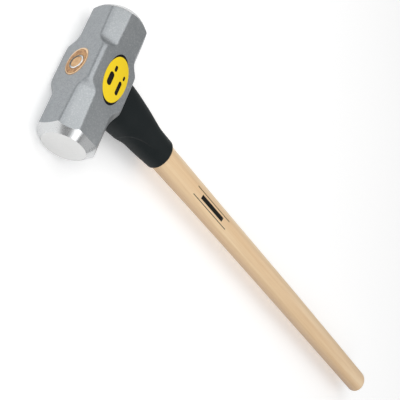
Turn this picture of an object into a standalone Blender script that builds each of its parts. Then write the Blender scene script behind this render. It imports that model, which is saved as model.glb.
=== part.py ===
"""Two-handed sledge hammer: forged octagonal head, hickory handle, ring wedge, resin bead,
moulded guard sleeve and an oval film label. It lies on the head's unlabelled cheek.

Every piece is modelled upright in the tool's own axes, in metres: X along the head, Z up
through the eye, the handle hanging down -Z, the label on the -Y cheek. One empty then lays
the whole tool down: +X runs from the head to the butt of the handle, +Y towards one striking
face, +Z up out of the labelled cheek, with the origin on the cheek it rests on.
"""

import math

import bmesh
import bpy
from mathutils import Matrix

# Head: an octagonal bar with a wider block around the eye and 45 degree turned ends.
HEAD_LENGTH = 0.190
HEAD_WIDTH = 0.0635
HEAD_HEIGHT = 0.0695
END_CORNER_CUT = 0.0175
EYE_CORNER_CUT = 0.0058
EYE_BLOCK_LENGTH = 0.0536
RUNOUT_RADIUS = 0.0237
FACE_BEVEL_STEP = 0.00465
FACE_BEVEL_ANGLE = math.radians(45)

# Eye: an oval hole, wider at both mouths than at its waist.
EYE_MOUTH_LENGTH = 0.0390
EYE_MOUTH_WIDTH = 0.0300
EYE_WAIST_NARROWING = 0.0030

# Handle, measured from the end of its tongue to the butt.
HANDLE_LENGTH = 0.9144
GRIP_DEPTH = 0.0380
GRIP_WIDTH = 0.0330
THROAT_SLIMMING = 0.0008
THROAT_PLACE = 0.22
TONGUE_PROUD = 0.0012
BUTT_FILLET = 0.0100

# Resin bead that fills the upper mouth of the eye around the tongue.
BEAD_WALL = 0.0016
BEAD_DEPTH = 0.0080
BEAD_PROUD = 0.0010

# Ring wedge: a steel ring, thick at the top, driven into the end of the tongue. The wood left
# between it and the tongue's narrow sides sets its radius.
RING_WOOD_WALL = 0.0024
RING_TOP_WALL = 0.0032
RING_EDGE_WALL = 0.0008
RING_LENGTH = 0.0200
RING_PROUD = 0.0004

# Guard sleeve: flared under the head, close round the handle at its lower rim.
SLEEVE_LENGTH = 0.1150
SLEEVE_TOP_LENGTH = 0.0620
SLEEVE_RIM_WALL = 0.0036
SLEEVE_RIM_ROUNDING = 0.0026
SLEEVE_TOP_SQUARENESS = 2.5
SLEEVE_FLARE_POWER = 0.8

# Film label on the upper cheek.
LABEL_LENGTH = 0.0670
LABEL_EDGE_MARGIN = 0.0094
LABEL_DROP = 0.0020
LABEL_THICKNESS = 0.0003

# Clearances: FIT between pieces that touch, BEYOND for cutters that run past a face.
FIT = 0.0003
BEYOND = 0.0100

ROUND_STEPS = 48
SLEEVE_STEPS = 10
ROUNDING_STEPS = 4
RUNOUT_STEPS = 8
EYE_STEPS = 6
CIRCLE = 2.0
SHARP_ANGLE = math.radians(30)

HEAD_TOP = HEAD_HEIGHT / 2
HEAD_BOTTOM = -HEAD_HEIGHT / 2
FACE_RADIUS = HEAD_WIDTH / 2 - FACE_BEVEL_STEP
TONGUE_TOP = HEAD_TOP + TONGUE_PROUD
BUTT_END = TONGUE_TOP - HANDLE_LENGTH
SLEEVE_TOP = HEAD_BOTTOM - FIT
SLEEVE_RIM = SLEEVE_TOP - SLEEVE_LENGTH
TONGUE_END_WIDTH = EYE_MOUTH_WIDTH - 2 * (BEAD_WALL + 2 * FIT)
RING_OUTER_RADIUS = TONGUE_END_WIDTH / 2 - RING_WOOD_WALL


def clear_scene():
    for obj in list(bpy.data.objects):
        bpy.data.objects.remove(obj, do_unlink=True)


def new_collection(name):
    collection = bpy.data.collections.new(name)
    bpy.context.scene.collection.children.link(collection)
    return collection


def new_material(name, color, roughness, metallic):
    material = bpy.data.materials.new(name)
    material.use_nodes = True
    shader = material.node_tree.nodes["Principled BSDF"]
    shader.inputs["Base Color"].default_value = (*color, 1.0)
    shader.inputs["Roughness"].default_value = roughness
    shader.inputs["Metallic"].default_value = metallic
    return material


def add_object(name, bm, collection, parent):
    """Turns a bmesh into an object that hangs from the given parent."""
    mesh = bpy.data.meshes.new(name)
    bmesh.ops.recalc_face_normals(bm, faces=bm.faces)
    bm.to_mesh(mesh)
    bm.free()
    obj = bpy.data.objects.new(name, mesh)
    obj.parent = parent
    collection.objects.link(obj)
    return obj


def finish_part(obj, material):
    """Applies the modifiers, then shades the round surfaces smooth and leaves true edges sharp."""
    evaluated = obj.evaluated_get(bpy.context.evaluated_depsgraph_get())
    obj.data = bpy.data.meshes.new_from_object(evaluated)
    obj.modifiers.clear()
    obj.data.materials.clear()
    obj.data.materials.append(material)
    obj.data.shade_smooth()
    obj.data.set_sharp_from_angle(angle=SHARP_ANGLE)


def hide_cutter(cutter):
    cutter.hide_render = True
    cutter.display_type = "WIRE"


def boolean(obj, cutter, operation="DIFFERENCE"):
    modifier = obj.modifiers.new(cutter.name, "BOOLEAN")
    modifier.operation = operation
    modifier.object = cutter


def oval(half_length, half_width, squareness=CIRCLE):
    """Points of an ellipse, or of a squarer oval where squareness is over 2."""
    power = 2 / squareness
    points = []
    for step in range(ROUND_STEPS):
        turn = 2 * math.pi * step / ROUND_STEPS
        cos, sin = math.cos(turn), math.sin(turn)
        x = half_length * math.copysign(abs(cos) ** power, cos)
        y = half_width * math.copysign(abs(sin) ** power, sin)
        points.append((x, y))
    return points


def loft(name, stations, collection, parent):
    """Closed solid through ovals stacked along Z: (z, half_length, half_width, squareness)."""
    bm = bmesh.new()
    rings = []
    for z, half_length, half_width, squareness in stations:
        ring = [bm.verts.new((x, y, z)) for x, y in oval(half_length, half_width, squareness)]
        rings.append(ring)
    for upper, lower in zip(rings, rings[1:]):
        for step in range(ROUND_STEPS):
            after = (step + 1) % ROUND_STEPS
            bm.faces.new((upper[step], lower[step], lower[after], upper[after]))
    bm.faces.new(rings[0])
    bm.faces.new(rings[-1])
    return add_object(name, bm, collection, parent)


def turned(name, profile, collection, parent, is_ring=False):
    """Solid of revolution about Z, from (radius, z) points that run down its outer side."""
    bm = bmesh.new()
    verts = [bm.verts.new((radius, 0, z)) for radius, z in profile]
    for upper, lower in zip(verts, verts[1:]):
        bm.edges.new((upper, lower))
    if is_ring:
        bm.edges.new((verts[-1], verts[0]))
    mesh = bpy.data.meshes.new(name)
    bm.to_mesh(mesh)
    bm.free()
    obj = bpy.data.objects.new(name, mesh)
    obj.parent = parent
    collection.objects.link(obj)
    screw = obj.modifiers.new("turn", "SCREW")
    screw.steps = ROUND_STEPS
    screw.render_steps = ROUND_STEPS
    screw.use_merge_vertices = True
    screw.merge_threshold = 0.00005
    return obj


def eye_half_size(z, inset=0.0):
    """Half length and half width of the eye at height z, less an inset."""
    openness = min(1.0, (z / HEAD_TOP) ** 2)
    narrowing = EYE_WAIST_NARROWING / 2 * (1 - openness)
    half_length = EYE_MOUTH_LENGTH / 2 - narrowing - inset
    half_width = EYE_MOUTH_WIDTH / 2 - narrowing - inset
    return half_length, half_width


def make_head(parts, cutters, tool, material):
    bm = bmesh.new()
    bmesh.ops.create_cube(bm, size=1.0)
    bmesh.ops.scale(bm, vec=(HEAD_LENGTH, HEAD_WIDTH, HEAD_HEIGHT), verts=bm.verts)
    head = add_object("head", bm, parts, tool)

    corner_mesh = make_corner_cutter()
    for number, quarter in enumerate((45, 135, 225, 315), start=1):
        cutter = bpy.data.objects.new(f"corner_cutter_{number}", corner_mesh)
        cutter.parent = tool
        cutter.rotation_euler.x = math.radians(quarter)
        cutters.objects.link(cutter)
        hide_cutter(cutter)
        boolean(head, cutter)

    blank = make_turned_blank(cutters, tool)
    boolean(head, blank, "INTERSECT")

    eye = make_eye_cutter(cutters, tool)
    boolean(head, eye)
    finish_part(head, material)


def make_corner_cutter():
    """Mesh that shaves one long edge: deep towards the ends, shallow beside the eye.

    It lies above the XY plane, at +Z, and is rolled about X onto each of the four edges.
    The two depths meet in an arc that is tangent to the deep flat.
    """
    corner = HEAD_WIDTH / 2 + HEAD_HEIGHT / 2
    deep = (corner - END_CORNER_CUT) / math.sqrt(2)
    shallow = (corner - EYE_CORNER_CUT) / math.sqrt(2)
    beyond = corner / math.sqrt(2) + BEYOND
    sweep = math.acos(1 - (shallow - deep) / RUNOUT_RADIUS)
    runout_start = EYE_BLOCK_LENGTH / 2 + RUNOUT_RADIUS * math.sin(sweep)
    end = HEAD_LENGTH / 2 + BEYOND

    right = [(end, deep)]
    for step in range(RUNOUT_STEPS + 1):
        angle = sweep * step / RUNOUT_STEPS
        x = runout_start - RUNOUT_RADIUS * math.sin(angle)
        z = deep + RUNOUT_RADIUS * (1 - math.cos(angle))
        right.append((x, z))
    left = [(-x, z) for x, z in reversed(right)]
    outline = right + left + [(-end, beyond), (end, beyond)]

    bm = bmesh.new()
    face = bm.faces.new([bm.verts.new((x, -HEAD_WIDTH, z)) for x, z in outline])
    extruded = bmesh.ops.extrude_face_region(bm, geom=[face])
    moved = [item for item in extruded["geom"] if isinstance(item, bmesh.types.BMVert)]
    bmesh.ops.translate(bm, vec=(0, 2 * HEAD_WIDTH, 0), verts=moved)
    bmesh.ops.recalc_face_normals(bm, faces=bm.faces)
    mesh = bpy.data.meshes.new("corner_cutter")
    bm.to_mesh(mesh)
    bm.free()
    return mesh


def make_turned_blank(cutters, tool):
    """What a lathe leaves of the bar: flat striking faces with a conical bevel behind each."""
    far = HEAD_LENGTH / 2
    widest = HEAD_WIDTH / 2 + HEAD_HEIGHT / 2
    cone = (widest - FACE_RADIUS) / math.tan(FACE_BEVEL_ANGLE)
    profile = [
        (0, far),
        (FACE_RADIUS, far),
        (widest, far - cone),
        (widest, cone - far),
        (FACE_RADIUS, -far),
        (0, -far),
    ]
    blank = turned("turned_blank", profile, cutters, tool)
    blank.rotation_euler.y = math.radians(90)
    hide_cutter(blank)
    return blank


def make_eye_cutter(cutters, tool):
    stations = [(HEAD_TOP + BEYOND, *eye_half_size(HEAD_TOP), CIRCLE)]
    for step in range(EYE_STEPS + 1):
        z = HEAD_TOP - HEAD_HEIGHT * step / EYE_STEPS
        stations.append((z, *eye_half_size(z), CIRCLE))
    stations.append((HEAD_BOTTOM - BEYOND, *eye_half_size(HEAD_BOTTOM), CIRCLE))
    eye = loft("eye_cutter", stations, cutters, tool)
    hide_cutter(eye)
    return eye


def tongue_half_size(z):
    """The tongue fills the eye, less the bead that surrounds it from the waist up."""
    if z <= 0:
        return eye_half_size(z, FIT)
    at_waist = eye_half_size(0, FIT)
    at_mouth = eye_half_size(HEAD_TOP, BEAD_WALL + 2 * FIT)
    share = min(1.0, z / HEAD_TOP)
    return tuple(low + (high - low) * share for low, high in zip(at_waist, at_mouth))


def handle_stations(grow=0.0):
    """Ovals from the tongue's end to the butt, each grown outwards by the same amount."""
    half_depth, half_width = GRIP_DEPTH / 2, GRIP_WIDTH / 2
    throat_z = SLEEVE_RIM - THROAT_PLACE * (SLEEVE_RIM - BUTT_END)
    slim = THROAT_SLIMMING / 2
    sizes = [(TONGUE_TOP, *tongue_half_size(HEAD_TOP))]
    for step in range(EYE_STEPS + 1):
        z = HEAD_TOP - HEAD_HEIGHT * step / EYE_STEPS
        sizes.append((z, *tongue_half_size(z)))
    sizes.append((SLEEVE_TOP - SLEEVE_LENGTH / 4, half_depth, half_width))
    sizes.append((SLEEVE_RIM, half_depth, half_width))
    sizes.append((throat_z, half_depth - slim, half_width - slim))
    sizes.append(((throat_z + BUTT_END) / 2, half_depth, half_width))
    for step in range(ROUNDING_STEPS + 1):
        angle = math.pi / 2 * step / ROUNDING_STEPS
        z = BUTT_END + BUTT_FILLET * (1 - math.sin(angle))
        shrink = BUTT_FILLET * (1 - math.cos(angle))
        sizes.append((z, half_depth - shrink, half_width - shrink))
    return [(z, length + grow, width + grow, CIRCLE) for z, length, width in sizes]


def ring_profile(grow=0.0):
    """Half section of the ring wedge, grown on every side."""
    top = TONGUE_TOP + RING_PROUD
    edge = top - RING_LENGTH
    outer = RING_OUTER_RADIUS + grow
    inner_top = RING_OUTER_RADIUS - RING_TOP_WALL - grow
    inner_edge = RING_OUTER_RADIUS - RING_EDGE_WALL - grow
    return [
        (outer, top + grow),
        (outer, edge - grow),
        (inner_edge, edge - grow),
        (inner_top, top + grow),
    ]


def make_handle(parts, cutters, tool, material):
    handle = loft("handle", handle_stations(), parts, tool)
    groove = turned("ring_groove", ring_profile(FIT), cutters, tool, is_ring=True)
    hide_cutter(groove)
    boolean(handle, groove)
    finish_part(handle, material)


def make_ring_wedge(parts, tool, material):
    ring = turned("ring_wedge", ring_profile(), parts, tool, is_ring=True)
    finish_part(ring, material)


def make_bead(parts, cutters, tool, material):
    """Resin collar between the tongue and the upper mouth of the eye."""
    top = HEAD_TOP + BEAD_PROUD
    bottom = HEAD_TOP - BEAD_DEPTH
    mouth = eye_half_size(HEAD_TOP, FIT)
    outside = [
        (top, *mouth, CIRCLE),
        (HEAD_TOP, *mouth, CIRCLE),
        (bottom, *eye_half_size(bottom, FIT), CIRCLE),
    ]
    bead = loft("eye_bead", outside, parts, tool)
    inside = []
    for z in (top + BEYOND, HEAD_TOP, bottom - BEYOND):
        half_length, half_width = tongue_half_size(z)
        inside.append((z, half_length + FIT, half_width + FIT, CIRCLE))
    core = loft("bead_core", inside, cutters, tool)
    hide_cutter(core)
    boolean(bead, core)
    finish_part(bead, material)


def sleeve_outside():
    """Outer ovals of the sleeve: a flared, squarish top easing into a round-edged rim."""
    top_half_length = SLEEVE_TOP_LENGTH / 2
    top_half_width = HEAD_WIDTH / 2 - EYE_CORNER_CUT
    rim_half_length = GRIP_DEPTH / 2 + FIT + SLEEVE_RIM_WALL
    rim_half_width = GRIP_WIDTH / 2 + FIT + SLEEVE_RIM_WALL
    flared_length = SLEEVE_LENGTH - SLEEVE_RIM_ROUNDING
    stations = []
    for step in range(SLEEVE_STEPS + 1):
        along = step / SLEEVE_STEPS
        eased = along**SLEEVE_FLARE_POWER
        flare = 1 - eased * eased * (3 - 2 * eased)
        half_length = rim_half_length + (top_half_length - rim_half_length) * flare
        half_width = rim_half_width + (top_half_width - rim_half_width) * flare
        squareness = CIRCLE + (SLEEVE_TOP_SQUARENESS - CIRCLE) * flare
        z = SLEEVE_TOP - flared_length * along
        stations.append((z, half_length, half_width, squareness))
    for step in range(1, ROUNDING_STEPS + 1):
        angle = math.pi / 2 * step / ROUNDING_STEPS
        z = SLEEVE_RIM + SLEEVE_RIM_ROUNDING * (1 - math.sin(angle))
        shrink = SLEEVE_RIM_ROUNDING * (1 - math.cos(angle))
        stations.append((z, rim_half_length - shrink, rim_half_width - shrink, CIRCLE))
    return stations


def make_sleeve(parts, cutters, tool, material):
    sleeve = loft("guard_sleeve", sleeve_outside(), parts, tool)
    bore = loft("sleeve_bore", handle_stations(FIT), cutters, tool)
    hide_cutter(bore)
    boolean(sleeve, bore)
    finish_part(sleeve, material)


def make_label(parts, tool, material):
    """Oval film on the -Y cheek, inside the flat beside the eye and a little below its middle."""
    flat_height = HEAD_HEIGHT - 2 * EYE_CORNER_CUT
    label_height = flat_height - 2 * LABEL_EDGE_MARGIN
    bm = bmesh.new()
    bmesh.ops.create_cone(
        bm,
        cap_ends=True,
        segments=ROUND_STEPS,
        radius1=0.5,
        radius2=0.5,
        depth=LABEL_THICKNESS,
        matrix=Matrix.Rotation(math.radians(90), 4, "X"),
    )
    bmesh.ops.scale(bm, vec=(LABEL_LENGTH, 1, label_height), verts=bm.verts)
    label = add_object("weight_label", bm, parts, tool)
    label.location.y = -(HEAD_WIDTH / 2 + FIT + LABEL_THICKNESS / 2)
    label.location.z = -LABEL_DROP
    finish_part(label, material)


def main():
    clear_scene()
    parts = new_collection("sledge_hammer")
    cutters = new_collection("cutters")

    tool = bpy.data.objects.new("tool_axes", None)
    tool.location.z = HEAD_WIDTH / 2
    tool.rotation_euler = (math.radians(-90), 0, math.radians(90))
    parts.objects.link(tool)

    steel = new_material("painted_steel", (0.36, 0.38, 0.39), 0.45, 0.6)
    bright = new_material("bright_steel", (0.75, 0.75, 0.74), 0.25, 1.0)
    hickory = new_material("hickory", (0.78, 0.58, 0.36), 0.45, 0.0)
    resin = new_material("amber_resin", (0.72, 0.42, 0.18), 0.35, 0.0)
    rubber = new_material("black_rubber", (0.02, 0.025, 0.028), 0.55, 0.0)
    film = new_material("yellow_film", (0.92, 0.72, 0.03), 0.4, 0.0)

    make_head(parts, cutters, tool, steel)
    make_handle(parts, cutters, tool, hickory)
    make_ring_wedge(parts, tool, bright)
    make_bead(parts, cutters, tool, resin)
    make_sleeve(parts, cutters, tool, rubber)
    make_label(parts, tool, film)


main()
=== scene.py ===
"""Looks for the sledge hammer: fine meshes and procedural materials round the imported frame.

Every piece is built in the tool's own axes, in metres: X along the head, Z up through the eye,
the handle down -Z and the label on the -Y cheek. TOOL_TO_ROW then lays it down as the CAD
lies, on the cheek without a label.
"""

import bisect
import math

import bmesh
import bpy
from mathutils import Matrix, Quaternion, Vector, noise


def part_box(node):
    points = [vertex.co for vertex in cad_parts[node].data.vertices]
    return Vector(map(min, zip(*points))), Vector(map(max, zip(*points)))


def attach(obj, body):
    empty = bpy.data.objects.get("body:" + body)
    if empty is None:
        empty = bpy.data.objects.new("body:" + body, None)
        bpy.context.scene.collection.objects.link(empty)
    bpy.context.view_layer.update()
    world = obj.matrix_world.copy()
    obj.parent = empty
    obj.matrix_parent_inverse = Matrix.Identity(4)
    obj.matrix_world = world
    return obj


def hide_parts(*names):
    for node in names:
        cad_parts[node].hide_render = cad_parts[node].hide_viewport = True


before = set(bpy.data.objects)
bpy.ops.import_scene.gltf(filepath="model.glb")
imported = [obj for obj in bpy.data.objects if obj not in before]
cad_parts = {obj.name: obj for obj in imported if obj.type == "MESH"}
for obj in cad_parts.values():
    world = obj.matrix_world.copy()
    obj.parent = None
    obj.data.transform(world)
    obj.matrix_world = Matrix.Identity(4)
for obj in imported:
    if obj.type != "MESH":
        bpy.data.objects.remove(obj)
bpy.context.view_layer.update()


def tool_box(node):
    """Half length, half width, bottom and top of a CAD node in the tool's axes."""
    low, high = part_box(node)
    return (high.y - low.y) / 2, (high.z - low.z) / 2, -high.x, -low.x


# Sizes that the CAD gives.
HALF_LENGTH, HALF_WIDTH, HEAD_BOTTOM, HEAD_TOP = tool_box("head")
BEAD_HALF_LENGTH, BEAD_HALF_WIDTH, BEAD_BOTTOM, BEAD_TOP = tool_box("eye_bead")
RING_RADIUS, _, RING_BOTTOM, RING_TOP = tool_box("ring_wedge")
SLEEVE_HALF_LENGTH, SLEEVE_HALF_WIDTH, SLEEVE_RIM, SLEEVE_TOP = tool_box("guard_sleeve")
LABEL_HALF_LENGTH, _, LABEL_BOTTOM, LABEL_TOP = tool_box("weight_label")
_, _, BUTT_END, TONGUE_TOP = tool_box("handle")

TOOL_TO_ROW = Matrix(((0, 0, -1, 0), (1, 0, 0, 0), (0, -1, 0, HALF_WIDTH), (0, 0, 0, 1)))
ROW_TO_TOOL = TOOL_TO_ROW.inverted()
# Clearance between pieces, and how far a cutter reaches past what it cuts.
FIT = 0.0003
BEYOND = 0.010

# Head. A leg is how far a corner's cut reaches along the cheek or the top from the sharp corner.
END_CORNER_CUT = 0.0175
EYE_CORNER_CUT = 0.0058
EYE_BLOCK_HALF = 0.0268
EYE_WAIST_NARROWING = 0.0030
RUNOUT_RADIUS = 0.0237
RUNOUT_LENGTH = 0.0185
RUNOUT_SOFTNESS = 0.0045
EDGE_ROUNDING = 0.0042
# The corner over the label runs out in a slanted shoulder. Its legs are given at the eye, at the
# end of the run-out and at the end of the head.
LABEL_CORNER_SIDE = (0.0052, 0.0176, 0.0188)
LABEL_CORNER_TOP = (0.0034, 0.0148, 0.0172)
LABEL_CORNER_SIDE_RUNOUT = 0.0105
LABEL_CORNER_TOP_RUNOUT = 0.0170
LABEL_CORNER_START = 0.0258
LABEL_CORNER_SOFTNESS = 0.0016
LABEL_CORNER_STEEPNESS = 2.2
LABEL_CORNER_ROUNDING_AT_EYE = 0.0050
# Where the paint stops at the top's and the cheek's edges, and how far it bulges between them
# on the top, the corner and the cheek. The two ends are ground a little differently.
PAINT_END = 0.0850
NEAR_PAINT = (0.0852, 0.0850, 0.0017, 0.0027, 0.0)
FAR_PAINT = (0.0837, 0.0846, 0.0033, 0.0018, 0.0040)
# The bevel swells a little between its edges, and is flatter at the middle of each side of the
# octagon. Its slope is averaged over nearby angles, as a grinding wheel would do.
BEVEL_EDGE = 0.0005
BEVEL_SWELL = 0.0004
BEVEL_STEPS = 10
BEVEL_FLATNESS = 0.38
NEARBY_ANGLES = [math.radians(turn) for turn in range(-12, 13, 3)]
SIDES = 8
FACE_RADIUS = 0.0271
FACE_EDGE_ROUNDING = 0.0009
FACE_CROWN = 0.0003
BEVEL_SLOT = 1
FACE_SLOT = 2

# Handle. Its middle stands a little to the side under the head and bows back towards the butt.
GRIP_HALF_DEPTH = 0.0197
GRIP_HALF_WIDTH = 0.0170
HANDLE_SHIFT = 0.0022
HANDLE_BOW = 0.0038
BOW_START = 0.20
BOW_LENGTH = 0.60
THROAT_SLIMMING = 0.0004
THROAT_PLACE = 0.22
THROAT_END = 0.6
BUTT_FILLET = 0.0100
TONGUE_ROUNDING = 0.0007
SAW_ROUGHNESS = 0.0002
END_GRAIN_SLOT = 1
PLUG_SLOT = 2

# Ring wedge and resin bead. The ring stands a little off the tongue's middle.
RING_WALL = 0.0021
RING_EDGE_WALL = 0.0008
RING_SHRINK = 0.0008
RING_OUTER = RING_RADIUS - RING_SHRINK
RING_PLACE = Vector((-0.0012, -0.0010, 0))
# Side of the ring that gets a painted highlight; the opposite side gets painted shade.
RING_PAINTED_LIGHT_SIDE = (0, -0.55, 0.83)
BEAD_WALL = 0.0016
BEAD_LIP_DEPTH = 0.0004
BEAD_SPILL = 0.9

# Guard sleeve. Its outside follows the handle's shift only in part near the head, and its belly
# fills out one side above the rim.
SLEEVE_SHOULDER = (SLEEVE_TOP - SLEEVE_RIM) / 4
SLEEVE_RIM_WALL = 0.0026
SLEEVE_RIM_ROUNDING = 0.0019
SLEEVE_TOP_SQUARENESS = 2.5
SLEEVE_FLARE_POWER = 1.05
SLEEVE_SLACK = 0.5
SLEEVE_SLACK_END = 0.4
SLEEVE_BELLY = 0.0013
SLEEVE_BELLY_START = 0.55
PANEL_DEPTH = 0.0018
PANEL_RAISED_SHARE = 0.12
PANEL_TOP = -0.0740
PANEL_LENGTH = 0.0700
PANEL_HALF_ANGLE = math.radians(58)
PANEL_SHARPNESS = 3.3
PANEL_STEP = 0.0024
PANEL_BOWL = 0.022

# Label: a yellow film over a black one, given as distances from the steel. Each plain printed
# bar is the place of its middle, its length and its height.
FILM_HALF_LENGTH = 0.0304
FILM_HALF_HEIGHT = 0.0190
FILM_TILT = math.radians(-1.6)
BACKING_HALF_HEIGHT = 0.0179
BACKING_TILT = math.radians(2.9)
BACKING_BOTTOM = 0.00005
BACKING_FACE = 0.0002
FILM_BOTTOM = 0.00021
FILM_FACE = 0.00032
INK_THICKNESS = 0.00003
LABEL_BARS = [
    (-0.0045, 0.0062, 0.0180, 0.0078),
    (0.0110, 0.0040, 0.0080, 0.0042),
    (-0.0060, -0.0104, 0.0190, 0.0052),
    (0.0100, -0.0128, 0.0060, 0.0032),
]

# Handle mark. Each plain bar is its place round the handle, its length and its height.
MARK_ANGLE = math.radians(253)
MARK_MIDDLE = -0.271
MARK_CLEARANCE = 0.00004
MARK_BARS = [(0, 0.060, 0.0058), (0.0062, 0.092, 0.0010), (-0.0062, 0.092, 0.0010)]

# An oval's squareness is the power of its formula: 2 gives a plain ellipse, more is squarer.
ELLIPSE = 2.0
ROUND_STEPS = 128
# Share of the run-out's radius that is used, so that its arc never quite turns upright.
STEEPEST = 0.9999

# Directions in the frame's axes: the tool's up, and the handle's side that gets painted shade.
TOOL_UP = (-1, 0, 0)
PAINTED_SHADE_SIDE = (0, -0.78, -0.63)

# Camera.
CAMERA_PLACE = Vector((-0.5654, -0.5344, 0.7008))
CAMERA_AIM = Vector((0.2589, 0.0025, 0.0318))
CAMERA_ROLL = math.radians(89.66)
CAMERA_LENS = 78.13

# Studio: each light box is a direction from the hammer's middle, a size and a power.
WORLD = 0.28
LIGHT_AIM = Vector((0.2, 0, 0.03))
LIGHT_DISTANCE = 2.4
LIGHTS = [
    ("fill_box", (0.70, -0.05, 0.55), 3.0, 11),
    ("rear_box", (-0.56, 0.45, 0.69), 1.6, 14),
    ("front_box", (-0.13, -0.78, 0.60), 1.2, 10),
    ("key_box", (-0.70, -0.30, 0.60), 1.4, 14),
    ("top_box", (-0.10, 0.10, 1.00), 1.4, 10),
]
FLOOR_GLOW = 0.27
FLOOR_HALF_SIZE = 6


# ---------------------------------------------------------------- meshes


def add_object(name, bm):
    """Turns a bmesh in the tool's axes into an object in the frame's axes."""
    bmesh.ops.recalc_face_normals(bm, faces=bm.faces)
    mesh = bpy.data.meshes.new(name)
    bm.to_mesh(mesh)
    bm.free()
    mesh.transform(TOOL_TO_ROW)
    obj = bpy.data.objects.new(name, mesh)
    bpy.context.scene.collection.objects.link(obj)
    return obj


def add_piece(name, bm, materials, replaced=()):
    """A smooth piece that rides on the frame."""
    for face in bm.faces:
        face.smooth = True
    obj = add_object(name, bm)
    for material in materials:
        obj.data.materials.append(material)
    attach(obj, "root")
    if replaced:
        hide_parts(*replaced)
    return obj


def weigh_normals(obj):
    """Keeps the large flats flat next to their rounded edges."""
    modifier = obj.modifiers.new("weighted_normals", "WEIGHTED_NORMAL")
    modifier.keep_sharp = True


def cut(obj, cutter):
    """Subtracts one mesh object from another and removes the cutter."""
    modifier = obj.modifiers.new("cut", "BOOLEAN")
    modifier.object = cutter
    bpy.context.view_layer.update()
    evaluated = obj.evaluated_get(bpy.context.evaluated_depsgraph_get())
    mesh = bpy.data.meshes.new_from_object(evaluated)
    obj.modifiers.remove(modifier)
    obj.data = mesh
    bpy.data.objects.remove(cutter, do_unlink=True)


def skin(bm, rings, material=0):
    """Quads between rings of equally many vertices."""
    for first, second in zip(rings, rings[1:]):
        count = len(first)
        for step in range(count):
            after = (step + 1) % count
            face = bm.faces.new((first[step], second[step], second[after], first[after]))
            face.material_index = material


def new_ring(bm, points):
    return [bm.verts.new(point) for point in points]


def fan(bm, ring, centre, material=0):
    """Triangles from a ring to one middle point."""
    middle = bm.verts.new(centre)
    for step, vert in enumerate(ring):
        after = ring[(step + 1) % len(ring)]
        face = bm.faces.new((vert, after, middle))
        face.material_index = material


def cap_both_ends(bm, rings):
    bm.faces.new(rings[0])
    bm.faces.new(rings[-1])


def oval(half_length, half_width, squareness=ELLIPSE):
    """Points of an ellipse, or of an oval that is squarer."""
    power = 2 / squareness
    points = []
    for step in range(ROUND_STEPS):
        turn = 2 * math.pi * step / ROUND_STEPS
        cos, sin = math.cos(turn), math.sin(turn)
        x = half_length * math.copysign(abs(cos) ** power, cos)
        y = half_width * math.copysign(abs(sin) ** power, sin)
        points.append((x, y))
    return points


def smoothstep(value):
    """Eases from 0 to 1, and stays there outside."""
    value = max(0.0, min(1.0, value))
    return value * value * (3 - 2 * value)


def lerp(first, second, share):
    return first + (second - first) * share


def handle_lean(z):
    """Sideways place of the handle's middle at height z: it is slightly bowed."""
    below = HEAD_BOTTOM - z
    bent = max(0.0, (below - BOW_START) / BOW_LENGTH)
    return HANDLE_SHIFT * smoothstep(below / SLEEVE_SHOULDER) - HANDLE_BOW * bent**2


def oval_ring(bm, z, half_length, half_width):
    """Ring round the handle's middle at height z."""
    lean = handle_lean(z)
    return new_ring(bm, [(x + lean, y, z) for x, y in oval(half_length, half_width)])


# ---------------------------------------------------------------- head


def plain_leg(x):
    """Leg of a 45 degree corner cut, at a distance x from the middle of the head."""
    corner = HALF_WIDTH + HEAD_TOP
    deep = (corner - END_CORNER_CUT) / math.sqrt(2)
    shallow = (corner - EYE_CORNER_CUT) / math.sqrt(2)
    sweep = math.acos(1 - (shallow - deep) / RUNOUT_RADIUS)
    start = EYE_BLOCK_HALF + RUNOUT_RADIUS * math.sin(sweep)
    reach = max(0.0, min(RUNOUT_RADIUS * STEEPEST, start - abs(x)))
    scoop = deep + RUNOUT_RADIUS - math.sqrt(RUNOUT_RADIUS**2 - reach**2)
    overlap = max(RUNOUT_SOFTNESS - abs(scoop - shallow), 0) / RUNOUT_SOFTNESS
    depth = min(scoop, shallow) - overlap**2 * RUNOUT_SOFTNESS / 4
    return corner - depth * math.sqrt(2)


def shouldered_leg(x, sizes, runout):
    """Short at the eye, then a curved run-out and a slow taper outwards, softly joined."""
    at_eye, at_scoop, at_end = sizes
    total = 0
    shifts = (-1, -0.5, 0, 0.5, 1)
    for shift in shifts:
        away = abs(x) + shift * LABEL_CORNER_SOFTNESS - LABEL_CORNER_START
        share = max(0.0, min(1.0, away / runout))
        taper = max(0.0, away - runout) / (HALF_LENGTH - LABEL_CORNER_START - runout)
        total += lerp(at_eye, at_scoop, 1 - (1 - share) ** LABEL_CORNER_STEEPNESS)
        total += (at_end - at_scoop) * taper
    return total / len(shifts)


def corner_legs(x, over_label):
    """Legs of a corner cut, along the cheek and along the top or underside."""
    if not over_label:
        return plain_leg(x), plain_leg(x)
    side = shouldered_leg(x, LABEL_CORNER_SIDE, LABEL_CORNER_SIDE_RUNOUT)
    top = shouldered_leg(x, LABEL_CORNER_TOP, LABEL_CORNER_TOP_RUNOUT)
    return side, top


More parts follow.
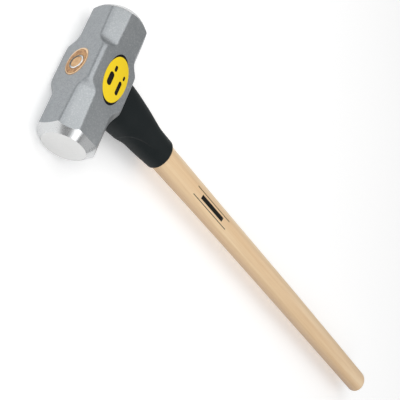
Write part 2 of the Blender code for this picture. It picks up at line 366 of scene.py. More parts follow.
def section_quarter(x, over_label, flat_steps=18, arc_steps=6, corner_steps=8):
    """(y, z) of one quarter, from the middle of the cheek up to the middle of the top."""
    side_leg, top_leg = corner_legs(x, over_label)
    lean = math.atan2(top_leg, side_leg)
    rounding = EDGE_ROUNDING
    if over_label:
        away = smoothstep((abs(x) - EYE_BLOCK_HALF) / LABEL_CORNER_SIDE_RUNOUT)
        rounding = lerp(LABEL_CORNER_ROUNDING_AT_EYE, EDGE_ROUNDING, away)
    side_end = HEAD_TOP - side_leg - rounding * math.tan(lean / 2)
    top_end = HALF_WIDTH - top_leg - rounding * math.tan((math.pi / 2 - lean) / 2)
    points = [(HALF_WIDTH, side_end * step / flat_steps) for step in range(flat_steps)]
    arcs = []
    lower_centre = (HALF_WIDTH - rounding, side_end, 0, lean)
    upper_centre = (top_end, HEAD_TOP - rounding, lean, math.pi / 2)
    for centre_y, centre_z, first, last in (lower_centre, upper_centre):
        arc = []
        for step in range(arc_steps + 1):
            turn = lerp(first, last, step / arc_steps)
            y = centre_y + rounding * math.cos(turn)
            z = centre_z + rounding * math.sin(turn)
            arc.append((y, z))
        arcs.append(arc)
    lower, upper = arcs
    points += lower
    for step in range(1, corner_steps):
        share = step / corner_steps
        y = lerp(lower[-1][0], upper[0][0], share)
        z = lerp(lower[-1][1], upper[0][1], share)
        points.append((y, z))
    points += upper
    points += [(top_end * (1 - step / flat_steps), HEAD_TOP) for step in range(1, flat_steps + 1)]
    return points


def section(x):
    """The whole octagon, as (y, z) points round the head's axis."""
    plain = section_quarter(x, False)
    label = section_quarter(x, True)
    second = [(-y, z) for y, z in reversed(label)][1:]
    third = [(-y, -z) for y, z in plain][1:]
    fourth = [(y, -z) for y, z in reversed(plain)][1:-1]
    return plain + second + third + fourth


def paint_end(y, z, limits):
    """How far along the head the paint reaches, at a point of the end section."""
    at_top, at_side, top_bulge, corner_bulge, side_bulge = limits
    side, top = abs(y), abs(z)
    side_leg, top_leg = corner_legs(PAINT_END, y < 0 < z)
    if side < HALF_WIDTH - top_leg:
        across = side / (HALF_WIDTH - top_leg)
        return at_top + top_bulge * (1 - across**2)
    if top < HEAD_TOP - side_leg:
        across = top / (HEAD_TOP - side_leg)
        return at_side + side_bulge * (1 - across**2)
    share = (HALF_WIDTH - side) / top_leg
    swell = 1 - (2 * share - 1) ** 2
    return lerp(at_side, at_top, share) + corner_bulge * swell


def end_rings(bm, way, limits):
    """Rings of one striking end, from the last paint to the middle of the face."""
    outline = section(PAINT_END)
    starts = [Vector((paint_end(y, z, limits), y, z)) for y, z in outline]
    ends = []
    for y, z in outline:
        scale = FACE_RADIUS / math.hypot(y, z)
        ends.append(Vector((HALF_LENGTH - FACE_CROWN, y * scale, z * scale)))
    paint = [start - Vector((BEVEL_EDGE, 0, 0)) for start in starts]
    rings = [new_ring(bm, [(way * p.x, p.y, p.z) for p in paint])]

    def bevel_ring(share_of_length):
        points = []
        for start, end in zip(starts, ends):
            length = (end - start).length
            share = share_of_length(length)
            point = start.lerp(end, share)
            outward = Vector((0.6, *Vector((start.y, start.z)).normalized() * 0.8))
            point += outward * BEVEL_SWELL * 4 * share * (1 - share)
            points.append((way * point.x, point.y, point.z))
        return new_ring(bm, points)

    rings.append(bevel_ring(lambda length: BEVEL_EDGE / length))
    for step in range(1, BEVEL_STEPS):
        rings.append(bevel_ring(lambda length: step / BEVEL_STEPS))
    rings.append(bevel_ring(lambda length: 1 - FACE_EDGE_ROUNDING / length))
    inset = FACE_EDGE_ROUNDING * 0.25
    face_radii = [FACE_RADIUS - inset, FACE_RADIUS - FACE_EDGE_ROUNDING]
    face_radii += [FACE_RADIUS * share for share in (0.85, 0.65, 0.45, 0.25, 0.1)]
    for number, radius in enumerate(face_radii):
        crown = FACE_CROWN * (1 - (radius / FACE_RADIUS) ** 2)
        x = HALF_LENGTH - FACE_CROWN + crown
        if number == 0:
            x -= inset
        points = []
        for end in ends:
            scale = radius / FACE_RADIUS
            points.append((way * x, end.y * scale, end.z * scale))
        rings.append(new_ring(bm, points))
    return rings


def section_places():
    """Places of the head's sections, dense where the corners run out beside the eye."""
    places = [0, 0.008, 0.016, 0.022, EYE_BLOCK_HALF - 0.0015, EYE_BLOCK_HALF - 0.0005]
    steps = 28
    for step in range(steps + 1):
        places.append(EYE_BLOCK_HALF + RUNOUT_LENGTH * (1 - math.cos(math.pi / 2 * step / steps)))
    places += [0.050, 0.056, 0.063, 0.070, 0.079]
    return [-x for x in reversed(places[1:])] + places


def make_head(paint, bevel, face):
    bm = bmesh.new()
    body = []
    for x in section_places():
        body.append(new_ring(bm, [(x, y, z) for y, z in section(x)]))
    far_end = end_rings(bm, 1, FAR_PAINT)
    near_end = end_rings(bm, -1, NEAR_PAINT)
    skin(bm, [near_end[0]] + body + [far_end[0]])
    bevel_count = BEVEL_STEPS + 3
    for rings, way in ((far_end, 1), (near_end, -1)):
        skin(bm, rings[:bevel_count], material=BEVEL_SLOT)
        skin(bm, rings[bevel_count - 1:], material=FACE_SLOT)
        fan(bm, rings[-1], (way * HALF_LENGTH, 0, 0), material=FACE_SLOT)
    head = add_piece("hammer_head", bm, [paint, bevel, face], ["head"])
    cut(head, eye_cutter())
    head.data.set_sharp_from_angle(angle=math.radians(50))
    weigh_normals(head)
    bpy.context.view_layer.update()
    turn_bevel(head)


def bevel_slopes(limits):
    """(angle, slope) pairs round one end: how steeply the bevel falls from the face."""
    slopes = []
    for y, z in section(PAINT_END):
        fall = HALF_LENGTH - FACE_CROWN - paint_end(y, z, limits)
        slopes.append((math.atan2(y, z), (math.hypot(y, z) - FACE_RADIUS) / fall))
    return sorted(slopes)


def slope_at(slopes, angle):
    """Slope between the two table entries on either side of an angle."""
    angle = (angle + math.pi) % (2 * math.pi) - math.pi
    after = min(bisect.bisect(slopes, (angle, 0.0)), len(slopes) - 1)
    before = max(after - 1, 0)
    low, high = slopes[before], slopes[after]
    share = (angle - low[0]) / (high[0] - low[0]) if high[0] > low[0] else 0
    return lerp(low[1], high[1], max(0.0, min(1.0, share)))


def turn_bevel(head):
    """Gives the bevels the even, turned shading of a cone."""
    near, far = bevel_slopes(NEAR_PAINT), bevel_slopes(FAR_PAINT)
    applied = head.evaluated_get(bpy.context.evaluated_depsgraph_get())
    mesh = bpy.data.meshes.new_from_object(applied)
    head.modifiers.clear()
    head.data = mesh
    normals = [Vector(corner.vector) for corner in mesh.corner_normals]
    for face in mesh.polygons:
        if face.material_index != BEVEL_SLOT:
            continue
        for loop in face.loop_indices:
            x, y, z = ROW_TO_TOOL @ mesh.vertices[mesh.loops[loop].vertex_index].co
            angle = math.atan2(y, z)
            slopes = [slope_at(far if x > 0 else near, angle + turn) for turn in NEARBY_ANGLES]
            axial = math.copysign(sum(slopes) / len(slopes), x)
            facing = angle - BEVEL_FLATNESS * math.sin(SIDES * angle) / SIDES
            normal = Vector((axial, math.sin(facing), math.cos(facing)))
            normals[loop] = (TOOL_TO_ROW.to_3x3() @ normal).normalized()
    mesh.normals_split_custom_set(normals)


def eye_half_size(z, inset=0.0):
    """Half length and half width of the eye at height z, less an inset."""
    narrowing = EYE_WAIST_NARROWING / 2 * (1 - min(1.0, (z / HEAD_TOP) ** 2))
    half_length = BEAD_HALF_LENGTH + FIT - narrowing - inset
    half_width = BEAD_HALF_WIDTH + FIT - narrowing - inset
    return half_length, half_width


def eye_cutter():
    bm = bmesh.new()
    steps = 12
    heights = [HEAD_TOP + BEYOND]
    heights += [lerp(HEAD_TOP, HEAD_BOTTOM, step / steps) for step in range(steps + 1)]
    heights.append(HEAD_BOTTOM - BEYOND)
    rings = [oval_ring(bm, z, *eye_half_size(max(-HEAD_TOP, min(HEAD_TOP, z)))) for z in heights]
    skin(bm, rings)
    cap_both_ends(bm, rings)
    return add_object("eye_cutter", bm)


# ---------------------------------------------------------------- handle, ring and bead


def tongue_half_size(z):
    """The tongue fills the eye, less the bead that surrounds it from the waist up."""
    if z <= 0:
        return eye_half_size(z, FIT)
    share = min(1.0, z / HEAD_TOP)
    at_waist = eye_half_size(0, FIT)
    at_mouth = eye_half_size(HEAD_TOP, BEAD_WALL + 2 * FIT)
    return tuple(lerp(low, high, share) for low, high in zip(at_waist, at_mouth))


def grip_half_size(z):
    """The grip below the sleeve, a shade slimmer at its throat."""
    along = (SLEEVE_RIM - z) / (SLEEVE_RIM - BUTT_END)
    if along < THROAT_PLACE:
        slim = smoothstep(along / THROAT_PLACE)
    else:
        slim = 1 - smoothstep((along - THROAT_PLACE) / (THROAT_END - THROAT_PLACE))
    slim *= THROAT_SLIMMING
    return GRIP_HALF_DEPTH - slim, GRIP_HALF_WIDTH - slim


def handle_sizes():
    """(z, half length, half width) from under the tongue's rounded edge to the butt's flat."""
    sizes = []
    for step in range(15):
        z = lerp(HEAD_TOP, HEAD_BOTTOM, step / 14)
        sizes.append((z, *tongue_half_size(z)))
    shoulder = SLEEVE_TOP - SLEEVE_SHOULDER
    sizes.append((shoulder, *grip_half_size(SLEEVE_RIM)))
    for step in range(41):
        z = lerp(SLEEVE_RIM, BUTT_END + BUTT_FILLET * 1.2, step / 40)
        sizes.append((z, *grip_half_size(z)))
    half_depth, half_width = grip_half_size(BUTT_END)
    for step in range(13):
        turn = math.pi / 2 * step / 12
        z = BUTT_END + BUTT_FILLET * (1 - math.sin(turn))
        shrink = BUTT_FILLET * (1 - math.cos(turn))
        sizes.append((z, half_depth - shrink, half_width - shrink))
    return sizes


def tongue_end_rings(bm):
    """Sawn end of the tongue: a softened edge round a slightly rough flat."""
    half_length, half_width = tongue_half_size(HEAD_TOP)
    rings = []
    for step in range(20, -1, -1):
        share = step / 20
        edge = smoothstep((1 - share) / 0.06)
        points = []
        for x, y in oval(half_length * share, half_width * share):
            rough = SAW_ROUGHNESS * noise.noise(Vector((x * 400, y * 400, 1.7)))
            drop = TONGUE_ROUNDING * (1 - edge)
            points.append((x, y, TONGUE_TOP - SAW_ROUGHNESS + rough * edge - drop))
        if step:
            rings.append(new_ring(bm, points))
    return rings


def make_handle(wood, end_grain, plug):
    bm = bmesh.new()
    end = tongue_end_rings(bm)
    skin(bm, list(reversed(end)), material=END_GRAIN_SLOT)
    fan(bm, end[-1], (0, 0, TONGUE_TOP - SAW_ROUGHNESS), material=END_GRAIN_SLOT)
    body = [oval_ring(bm, *size) for size in handle_sizes()]
    skin(bm, [end[0]] + body)
    butt = [body[-1]]
    last_length, last_width = handle_sizes()[-1][1:]
    for share in (0.75, 0.5, 0.25):
        butt.append(oval_ring(bm, BUTT_END, last_length * share, last_width * share))
    skin(bm, butt)
    fan(bm, butt[-1], (0, 0, BUTT_END))
    handle = add_piece("hickory_handle", bm, [wood, end_grain, plug], ["handle"])
    cut(handle, ring_groove())
    inner = RING_OUTER - RING_WALL
    for face in handle.data.polygons:
        centre = ROW_TO_TOOL @ face.center - RING_PLACE
        if face.material_index == END_GRAIN_SLOT and math.hypot(centre.x, centre.y) < inner:
            face.material_index = PLUG_SLOT
    handle.data.set_sharp_from_angle(angle=math.radians(50))


def turned(bm, profile):
    """Ring of revolution about Z from a closed loop of (radius, z) points."""
    rings = [oval_ring(bm, z, radius, radius) for radius, z in profile]
    skin(bm, rings + [rings[0]])


def ring_groove():
    """Cuts room for the ring, with a little clearance and an open top."""
    bm = bmesh.new()
    outer = RING_OUTER + FIT
    edge = RING_BOTTOM - FIT
    inner_top = RING_OUTER - RING_WALL - FIT
    inner_edge = RING_OUTER - RING_EDGE_WALL - FIT
    profile = [
        (outer + FIT, RING_TOP + BEYOND), (outer + FIT, RING_TOP - RING_WALL / 2),
        (outer, RING_TOP - RING_WALL), (outer, edge), (inner_edge, edge),
        (inner_top, RING_TOP), (inner_top, RING_TOP + BEYOND),
    ]
    turned(bm, profile)
    bmesh.ops.translate(bm, verts=bm.verts, vec=RING_PLACE)
    return add_object("ring_groove", bm)


def make_ring_wedge(steel):
    """The ring's end stands at the tongue's surface and is rounded over its whole wall."""
    bm = bmesh.new()
    lip = RING_WALL / 2
    profile = [(RING_OUTER - RING_EDGE_WALL, RING_BOTTOM), (RING_OUTER, RING_BOTTOM)]
    for step in range(13):
        turn = math.pi * step / 12
        radius = RING_OUTER - lip + lip * math.cos(turn)
        profile.append((radius, RING_TOP - lip * 0.7 * (1 - math.sin(turn))))
    turned(bm, profile)
    bmesh.ops.translate(bm, verts=bm.verts, vec=RING_PLACE)
    ring = add_piece("steel_ring_wedge", bm, [steel], ["ring_wedge"])
    ring.data.set_sharp_from_angle(angle=math.radians(60))


def make_bead(resin):
    """Cured resin round the tongue: a rounded crest of uneven width and height."""
    bm = bmesh.new()
    # Share of the way in from the eye's edge to the tongue, height from the foot at 0 to the lip
    # at 1 and on to the crest at 1.85, and whether the point belongs to the uneven crest.
    crest_height = 1.85
    shape = [
        (0.0, 0.0, False), (0.0, 1.0, False), (0.12, 1.35, True), (0.35, 1.75, True),
        (0.62, crest_height, True), (0.88, 1.6, True), (1.0, 1.0, True), (1.0, 0.0, False),
    ]
    outer = oval(*eye_half_size(HEAD_TOP, FIT))
    inner = oval(*(size + FIT / 2 for size in tongue_half_size(HEAD_TOP)))
    spill_length = max(x for x, _ in outer) / 1.6
    lip = HEAD_TOP - BEAD_LIP_DEPTH
    rings = []
    for inward, height, is_crest in shape:
        points = []
        for (outer_x, outer_y), (inner_x, inner_y) in zip(outer, inner):
            wander = noise.noise(Vector((outer_x * 150, outer_y * 150, 5.3)))
            ripple = noise.noise(Vector((outer_x * 420, outer_y * 420, 9.1)))
            share = inward
            if is_crest and inward < 1:
                spill = smoothstep(outer_x / spill_length - 0.35) * (1 - inward) ** 2
                share = inward * (1 + 0.25 * wander) - BEAD_SPILL * spill
            x = lerp(outer_x, inner_x, share)
            y = lerp(outer_y, inner_y, share)
            if height <= 1:
                z = lerp(BEAD_BOTTOM, lip, height)
            else:
                rise = (height - 1) / (crest_height - 1)
                z = lip + (BEAD_TOP - lip) * rise * (0.82 + 0.12 * wander + 0.06 * ripple)
            points.append((x, y, z))
        rings.append(new_ring(bm, points))
    skin(bm, rings + [rings[0]])
    bead = add_piece("resin_bead", bm, [resin], ["eye_bead"])
    bead.data.set_sharp_from_angle(angle=math.radians(60))


# ---------------------------------------------------------------- guard sleeve


def sleeve_base(along):
    """Half length, half width and squareness, from the top at 0 to the rim at 1."""
    rim_half_length = GRIP_HALF_DEPTH + FIT + SLEEVE_RIM_WALL
    rim_half_width = GRIP_HALF_WIDTH + FIT + SLEEVE_RIM_WALL
    eased = along**SLEEVE_FLARE_POWER
    flare = 1 - smoothstep(eased)
    half_length = lerp(rim_half_length, SLEEVE_HALF_LENGTH, flare)
    half_width = lerp(rim_half_width, SLEEVE_HALF_WIDTH, flare)
    return half_length, half_width, lerp(ELLIPSE, SLEEVE_TOP_SQUARENESS, flare)


def panel_relief(x, y, z):
    """Outward offset: the arched panels on the two X sides lie below the skin round them."""
    radius = math.hypot(x, y)
    angle = math.atan2(abs(y), abs(x))
    below = PANEL_TOP - z
    fade = 1 - smoothstep(((z - PANEL_TOP) / (SLEEVE_RIM - PANEL_TOP) - 0.35) / 0.63)
    raised = PANEL_DEPTH * PANEL_RAISED_SHARE * smoothstep((below + 0.010) / 0.030) * fade
    share = angle / PANEL_HALF_ANGLE
    inside = below - PANEL_LENGTH * share**PANEL_SHARPNESS
    slope = PANEL_LENGTH * PANEL_SHARPNESS * share ** (PANEL_SHARPNESS - 1)
    slope /= PANEL_HALF_ANGLE * radius
    distance = inside / math.sqrt(1 + slope**2)
    sunk = smoothstep(distance / PANEL_STEP + 0.5)
    depth = PANEL_DEPTH * fade * (1 - 0.4 * smoothstep(distance / PANEL_BOWL))
    return raised - (raised + depth) * sunk


def make_sleeve(rubber):
    bm = bmesh.new()
    rounding = SLEEVE_RIM_ROUNDING
    flared = SLEEVE_TOP - SLEEVE_RIM - rounding
    rings = []
    stations = 92
    for step in range(stations + 1):
        along = step / stations
        half_length, half_width, squareness = sleeve_base(along)
        z = SLEEVE_TOP - flared * along
        tight = smoothstep((along - SLEEVE_SLACK_END) / (1 - SLEEVE_SLACK_END))
        lean = HANDLE_SHIFT * (1 - SLEEVE_SLACK * (1 - tight))
        past_start = (along - SLEEVE_BELLY_START) / (1 - SLEEVE_BELLY_START)
        belly = SLEEVE_BELLY * max(0.0, math.sin(math.pi * past_start))
        points = []
        for x, y in oval(half_length, half_width, squareness):
            grow = 1 + panel_relief(x, y, z) / math.hypot(x, y)
            grow += belly * max(0.0, -x) / half_length**2
            points.append((x * grow + lean, y * grow, z))
        rings.append(new_ring(bm, points))
    half_length, half_width, _ = sleeve_base(1)
    for step in range(1, 9):
        turn = math.pi / 2 * step / 8
        shrink = rounding * (1 - math.cos(turn))
        z = SLEEVE_RIM + rounding * (1 - math.sin(turn))
        rings.append(oval_ring(bm, z, half_length - shrink, half_width - shrink))
    bore_half_length, bore_half_width = (size + FIT for size in grip_half_size(SLEEVE_RIM))
    shoulder = SLEEVE_TOP - SLEEVE_SHOULDER
    rings.append(oval_ring(bm, SLEEVE_RIM, bore_half_length, bore_half_width))
    rings.append(oval_ring(bm, shoulder, bore_half_length, bore_half_width))
    mouth = [size + FIT for size in tongue_half_size(HEAD_BOTTOM)]
    rings.append(oval_ring(bm, SLEEVE_TOP, *mouth))
    skin(bm, rings + [rings[0]])
    sleeve = add_piece("rubber_guard", bm, [rubber], ["guard_sleeve"])
    sleeve.data.set_sharp_from_angle(angle=math.radians(50))


# ---------------------------------------------------------------- label and handle mark


def film_disc(bm, half_length, half_height, tilt, inner, outer):
    """Thin tilted oval on the -Y cheek, from `inner` to `outer` away from the steel."""
    middle = (LABEL_BOTTOM + LABEL_TOP) / 2
    cos, sin = math.cos(tilt), math.sin(tilt)
    rings = []
    for away, shrink in ((inner, 0), (outer - 0.00003, 0), (outer, 0.00008)):
        points = []
        for u, v in oval(half_length - shrink, half_height - shrink):
            x = u * cos - v * sin
            z = middle + u * sin + v * cos
            points.append((x, -HALF_WIDTH - away, z))
        rings.append(new_ring(bm, points))
    skin(bm, rings)
    cap_both_ends(bm, rings)


def printed_bar(bm, centre_x, centre_z, length, height):
    """Bar with round ends, raised by the thickness of ink over the film."""
    radius = height / 2
    outline = []
    for end in (1, -1):
        for step in range(9):
            turn = math.pi * (step / 8 - 0.5)
            u = end * (length / 2 - radius + radius * math.cos(turn))
            v = end * radius * math.sin(turn)
            outline.append((centre_x + u, centre_z + v))
    rings = []
    for away in (FILM_FACE, FILM_FACE + INK_THICKNESS):
        rings.append(new_ring(bm, [(x, -HALF_WIDTH - away, z) for x, z in outline]))
    skin(bm, rings)
    cap_both_ends(bm, rings)


def make_label(black_film, yellow_film, ink):
    backing = bmesh.new()
    backing_size = (LABEL_HALF_LENGTH, BACKING_HALF_HEIGHT, BACKING_TILT)
    film_disc(backing, *backing_size, BACKING_BOTTOM, BACKING_FACE)
    add_piece("label_backing", backing, [black_film], ["weight_label"])
    top = bmesh.new()
    film_disc(top, FILM_HALF_LENGTH, FILM_HALF_HEIGHT, FILM_TILT, FILM_BOTTOM, FILM_FACE)
    add_piece("label_film", top, [yellow_film])
    bars = bmesh.new()
    for bar in LABEL_BARS:
        printed_bar(bars, *bar)
    add_piece("label_bars", bars, [ink])


def make_handle_mark(ink):
    """Plain bars stamped along the handle, wrapped on its oval."""
    bm = bmesh.new()
    radius = (GRIP_HALF_DEPTH + GRIP_HALF_WIDTH) / 2
    across_steps = 8
    along_steps = 12
    for offset, length, height in MARK_BARS:
        rows = []
        for across in range(across_steps + 1):
            angle = MARK_ANGLE + (offset + height * (across / across_steps - 0.5)) / radius
            row = []
            for along in range(along_steps + 1):
                z = MARK_MIDDLE + length * (0.5 - along / along_steps)
                half_depth, half_width = grip_half_size(z)
                x = (half_depth + MARK_CLEARANCE) * math.cos(angle) + handle_lean(z)
                y = (half_width + MARK_CLEARANCE) * math.sin(angle)
                row.append(bm.verts.new((x, y, z)))
            rows.append(row)
        for first, second in zip(rows, rows[1:]):
            for step in range(along_steps):
                after = step + 1
                bm.faces.new((first[step], first[after], second[after], second[step]))
    mark = add_piece("handle_bars", bm, [ink])
    solid = mark.modifiers.new("ink", "SOLIDIFY")
    solid.thickness = INK_THICKNESS


# ---------------------------------------------------------------- materials


class Shader:
    """A Principled material, with short calls for its nodes."""

    def __init__(self, name, color, roughness, metallic=0.0):
        self.material = bpy.data.materials.new(name)
        self.material.use_nodes = True
        self.tree = self.material.node_tree
        self.surface = self.tree.nodes["Principled BSDF"]
        self.surface.inputs["Base Color"].default_value = (*color, 1)
        self.surface.inputs["Roughness"].default_value = roughness
        self.surface.inputs["Metallic"].default_value = metallic
        self.place = self.tree.nodes.new("ShaderNodeTexCoord").outputs["Object"]

    def link(self, output, target):
        self.tree.links.new(output, target)

    def stretched(self, scale):
        mapping = self.tree.nodes.new("ShaderNodeMapping")
        mapping.inputs["Scale"].default_value = scale
        self.link(self.place, mapping.inputs["Vector"])
        return mapping.outputs["Vector"]

    def along(self, direction):
        """Distance of the shaded point along a direction of the piece's own frame."""
        node = self.tree.nodes.new("ShaderNodeVectorMath")
        node.operation = "DOT_PRODUCT"
        node.inputs[1].default_value = direction
        self.link(self.place, node.inputs[0])
        return node.outputs["Value"]

    def noise(self, scale, detail=3.0, stretch=(1, 1, 1), roughness=0.5, distortion=0.0):
        texture = self.tree.nodes.new("ShaderNodeTexNoise")
        texture.inputs["Scale"].default_value = scale
        texture.inputs["Detail"].default_value = detail
        texture.inputs["Roughness"].default_value = roughness
        texture.inputs["Distortion"].default_value = distortion
        self.link(self.stretched(stretch), texture.inputs["Vector"])
        return texture.outputs["Fac"]

    def spread(self, value, low, high, to_low=0.0, to_high=1.0):
        """Stretches the range from low to high over a new one, and holds its ends."""
        ranged = self.tree.nodes.new("ShaderNodeMapRange")
        ranged.inputs["From Min"].default_value = low
        ranged.inputs["From Max"].default_value = high
        ranged.inputs["To Min"].default_value = to_low
        ranged.inputs["To Max"].default_value = to_high
        self.link(value, ranged.inputs["Value"])
        return ranged.outputs["Result"]

    def power(self, value, exponent):
        node = self.tree.nodes.new("ShaderNodeMath")
        node.operation = "POWER"
        node.inputs[1].default_value = exponent
        self.link(value, node.inputs[0])
        return node.outputs["Value"]

    def mix(self, factor, first, second):
        """Colour mix; each of the two is a colour or an output."""
        blend = self.tree.nodes.new("ShaderNodeMix")
        blend.data_type = "RGBA"
        self.link(factor, blend.inputs["Factor"])
        color_inputs = [socket for socket in blend.inputs if socket.type == "RGBA"]
        for value, socket in zip((first, second), color_inputs):
            if isinstance(value, tuple):
                socket.default_value = (*value, 1)
            else:
                self.link(value, socket)
        return next(socket for socket in blend.outputs if socket.type == "RGBA")

    def color(self, output):
        self.link(output, self.surface.inputs["Base Color"])

    def roughness(self, output):
        self.link(output, self.surface.inputs["Roughness"])

    def specular(self, level):
        self.surface.inputs["Specular IOR Level"].default_value = level

    def bump(self, height, strength, distance):
        bump = self.tree.nodes.new("ShaderNodeBump")
        bump.inputs["Strength"].default_value = strength
        bump.inputs["Distance"].default_value = distance
        self.link(height, bump.inputs["Height"])
        self.link(bump.outputs["Normal"], self.surface.inputs["Normal"])


def painted_steel():
    """Silvery paint with fine metal flakes over a sandy skin, with painted shade darkening the
    top.
    """
    shader = Shader("painted_steel", (0.40, 0.41, 0.42), 0.42, 0.8)
    grain = shader.noise(620, detail=4, roughness=0.6)
    cloud = shader.spread(shader.noise(25, detail=2), 0.35, 0.65)
    flakes = shader.spread(grain, 0.48, 0.7, 0, 0.6)
    shaded_top_flakes = shader.spread(grain, 0.35, 0.7)
    tone = shader.mix(cloud, (0.355, 0.378, 0.393), (0.395, 0.416, 0.430))
    tone = shader.mix(flakes, tone, (0.62, 0.63, 0.63))
    # Painted shade: the top face and the top edges of its corners are coloured darker than the
    # rest.
    shaded_top_tone = shader.mix(shaded_top_flakes, (0.275, 0.293, 0.308), (0.40, 0.42, 0.435))
    upper = shader.spread(shader.along(TOOL_UP), HEAD_TOP - 0.006, HEAD_TOP - 0.001)
    shader.color(shader.mix(upper, tone, shaded_top_tone))
    shader.roughness(shader.spread(grain, 0.3, 0.7, 0.36, 0.5))
    shader.bump(grain, 0.5, 0.0004)
    return shader.material


def turned_steel():
    """Bare bevel: smooth, with only a faint change of sheen."""
    shader = Shader("turned_steel", (0.62, 0.63, 0.635), 0.27, 1.0)
    sheen = shader.noise(90, detail=2)
    shader.roughness(shader.spread(sheen, 0.3, 0.7, 0.24, 0.30))
    return shader.material


def ground_steel():
    """Striking face: fine straight scratches."""
    shader = Shader("ground_steel", (0.80, 0.80, 0.80), 0.3, 1.0)
    scratches = shader.noise(60, detail=6, stretch=(26, 3, 1), roughness=0.7)
    shader.roughness(shader.spread(scratches, 0.3, 0.7, 0.26, 0.36))
    tone = shader.spread(scratches, 0.3, 0.7)
    shader.color(shader.mix(tone, (0.66, 0.66, 0.655), (0.71, 0.71, 0.705)))
    shader.bump(scratches, 0.04, 0.0001)
    return shader.material


def ring_steel():
    """Steel given a painted highlight on its lit side and painted shade on the other side."""
    shader = Shader("ring_steel", (0.78, 0.78, 0.77), 0.25, 1.0)
    marks = shader.noise(500, detail=3)
    middle = Vector(RING_PAINTED_LIGHT_SIDE).dot(TOOL_TO_ROW @ RING_PLACE)
    # Painted light: bright steel colour on the lit side, nearly black on the shaded side.
    painted_light_mask = shader.spread(shader.along(RING_PAINTED_LIGHT_SIDE), middle - 0.005, middle + 0.004)
    shader.color(shader.mix(painted_light_mask, (0.17, 0.165, 0.155), (0.80, 0.80, 0.79)))
    shader.roughness(shader.spread(marks, 0.3, 0.7, 0.2, 0.36))
    shader.bump(marks, 0.1, 0.0002)
    return shader.material


def hickory():
    """Lacquered hickory: pale sapwood, painted shade along the underside, fine streaks."""
    shader = Shader("lacquered_hickory", (0.85, 0.62, 0.38), 0.36)
    bands = shader.noise(1, detail=3, stretch=(2.2, 90, 90), distortion=0.4)
    fibres = shader.noise(1, detail=5, stretch=(9, 900, 900), roughness=0.65)
    pores = shader.noise(1, detail=2, stretch=(40, 2600, 2600))
    tone = shader.mix(shader.spread(bands, 0.35, 0.65), (0.85, 0.59, 0.335), (0.96, 0.735, 0.475))
    tone = shader.mix(shader.spread(fibres, 0.45, 0.75, 0, 0.4), tone, (0.66, 0.42, 0.21))
    tone = shader.mix(shader.spread(pores, 0.62, 0.75, 0, 0.25), tone, (0.48, 0.29, 0.13))
    # Painted shade: the underside, towards the floor, is coloured a darker, warmer brown.
    middle = Vector(PAINTED_SHADE_SIDE).dot((0, 0, HALF_WIDTH))
    painted_shade = shader.spread(shader.along(PAINTED_SHADE_SIDE), middle + 0.002, middle + 0.019)
    shader.color(shader.mix(shader.power(painted_shade, 1.5), tone, (0.37, 0.205, 0.085)))
    shader.roughness(shader.spread(fibres, 0.3, 0.7, 0.32, 0.46))
    shader.bump(fibres, 0.12, 0.0003)
    shader.surface.inputs["Coat Weight"].default_value = 0.2
    shader.surface.inputs["Coat Roughness"].default_value = 0.25
    return shader.material


def end_grain(name, dark, light):
    """Sawn end grain soaked with resin: blotches and short fibres."""
    shader = Shader(name, dark, 0.45)
    blotch = shader.noise(260, detail=4)
    fibre = shader.noise(1, detail=4, stretch=(300, 500, 1500))
    tone = shader.mix(shader.spread(blotch, 0.38, 0.62), dark, light)
    tone = shader.mix(shader.spread(fibre, 0.5, 0.75, 0, 0.5), tone, dark)
    shader.color(tone)
    shader.bump(fibre, 0.3, 0.0004)
    return shader.material


def amber_resin():
    """Amber resin, paler at its crest, where it is thin, with a painted highlight where the crest
    catches light.
    """
    shader = Shader("amber_resin", (0.72, 0.42, 0.20), 0.3)
    cloud = shader.noise(300, detail=3)
    tone = shader.mix(shader.spread(cloud, 0.35, 0.65), (0.50, 0.25, 0.10), (0.70, 0.42, 0.20))
    # Painted highlight: the crest above the steel is coloured paler.
    crest = shader.spread(shader.along(TOOL_UP), HEAD_TOP + 0.0002, HEAD_TOP + 0.0008)
    shader.color(shader.mix(crest, tone, (0.93, 0.70, 0.45)))
    shader.roughness(shader.spread(cloud, 0.3, 0.7, 0.25, 0.45))
    shader.bump(cloud, 0.2, 0.0004)
    return shader.material


def black_rubber():
    shader = Shader("black_rubber", (0.008, 0.011, 0.012), 0.5)
    shader.specular(0.14)
    grain = shader.noise(1400, detail=3)
    cloud = shader.spread(shader.noise(30, detail=2), 0.3, 0.7)
    shader.color(shader.mix(cloud, (0.0095, 0.0135, 0.0145), (0.013, 0.017, 0.018)))
    shader.roughness(shader.spread(grain, 0.3, 0.7, 0.5, 0.65))
    shader.bump(grain, 0.25, 0.0002)
    return shader.material


def printed_film(name, color, darker):
    shader = Shader(name, color, 0.38)
    shader.specular(0.15)
    cloud = shader.noise(120, detail=2)
    shader.color(shader.mix(shader.spread(cloud, 0.3, 0.7), color, darker))
    shader.roughness(shader.spread(cloud, 0.3, 0.7, 0.34, 0.44))
    shader.bump(cloud, 0.05, 0.0002)
    return shader.material


# ---------------------------------------------------------------- camera, light and floor


def make_camera():
    """Looks down on the hammer from past its near striking end, turned on its side."""
    data = bpy.data.cameras.new("camera")
    data.lens = CAMERA_LENS
    data.sensor_width = 36
    data.clip_end = 20
    camera = bpy.data.objects.new("camera", data)
    camera.location = CAMERA_PLACE
    camera.rotation_mode = "QUATERNION"
    upright = (CAMERA_AIM - CAMERA_PLACE).to_track_quat("-Z", "Y")
    camera.rotation_quaternion = upright @ Quaternion((0, 0, 1), CAMERA_ROLL)
    bpy.context.scene.collection.objects.link(camera)
    bpy.context.scene.camera = camera


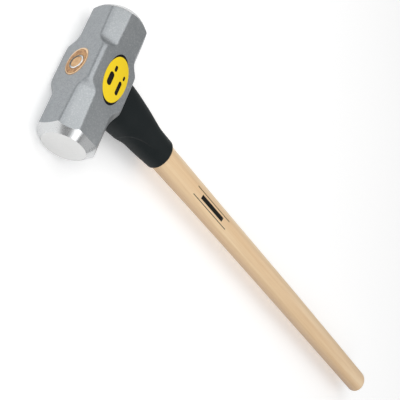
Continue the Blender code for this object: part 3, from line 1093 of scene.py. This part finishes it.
def add_light_box(name, direction, size, power):
    """Square light at a distance from the hammer, facing it."""
    towards = Vector(direction).normalized()
    data = bpy.data.lights.new(name, "AREA")
    data.shape = "SQUARE"
    data.size = size
    data.energy = power
    light = bpy.data.objects.new(name, data)
    light.location = LIGHT_AIM + towards * LIGHT_DISTANCE
    light.rotation_mode = "QUATERNION"
    light.rotation_quaternion = (-towards).to_track_quat("-Z", "Y")
    bpy.context.scene.collection.objects.link(light)


def make_light():
    """Soft boxes round the hammer and a dim room."""
    world = bpy.data.worlds.new("studio")
    world.use_nodes = True
    background = world.node_tree.nodes["Background"]
    background.inputs["Color"].default_value = (1, 1, 1, 1)
    background.inputs["Strength"].default_value = WORLD
    bpy.context.scene.world = world
    bpy.context.scene.view_settings.view_transform = "Standard"
    for box in LIGHTS:
        add_light_box(*box)


def make_floor():
    """Plain pale floor that gives off a little light, so that few lamps are needed."""
    bm = bmesh.new()
    bmesh.ops.create_grid(bm, x_segments=1, y_segments=1, size=FLOOR_HALF_SIZE)
    mesh = bpy.data.meshes.new("floor")
    bm.to_mesh(mesh)
    bm.free()
    floor = bpy.data.objects.new("floor", mesh)
    shader = Shader("pale_floor", (0.92, 0.92, 0.92), 0.9)
    shader.surface.inputs["Emission Color"].default_value = (1, 1, 1, 1)
    shader.surface.inputs["Emission Strength"].default_value = FLOOR_GLOW
    mesh.materials.append(shader.material)
    bpy.context.scene.collection.objects.link(floor)


def main():
    make_camera()
    make_light()
    make_floor()
    make_head(painted_steel(), turned_steel(), ground_steel())
    tongue = end_grain("soaked_end_grain", (0.33, 0.155, 0.06), (0.56, 0.31, 0.13))
    plug = end_grain("clean_end_grain", (0.58, 0.33, 0.15), (0.72, 0.45, 0.22))
    make_handle(hickory(), tongue, plug)
    make_ring_wedge(ring_steel())
    make_bead(amber_resin())
    make_sleeve(black_rubber())
    ink = printed_film("black_ink", (0.006, 0.005, 0.004), (0.010, 0.008, 0.006))
    black = printed_film("black_film", (0.004, 0.004, 0.004), (0.006, 0.006, 0.006))
    yellow = printed_film("yellow_film", (0.97, 0.70, 0.022), (0.95, 0.68, 0.02))
    make_label(black, yellow, ink)
    make_handle_mark(ink)


main()
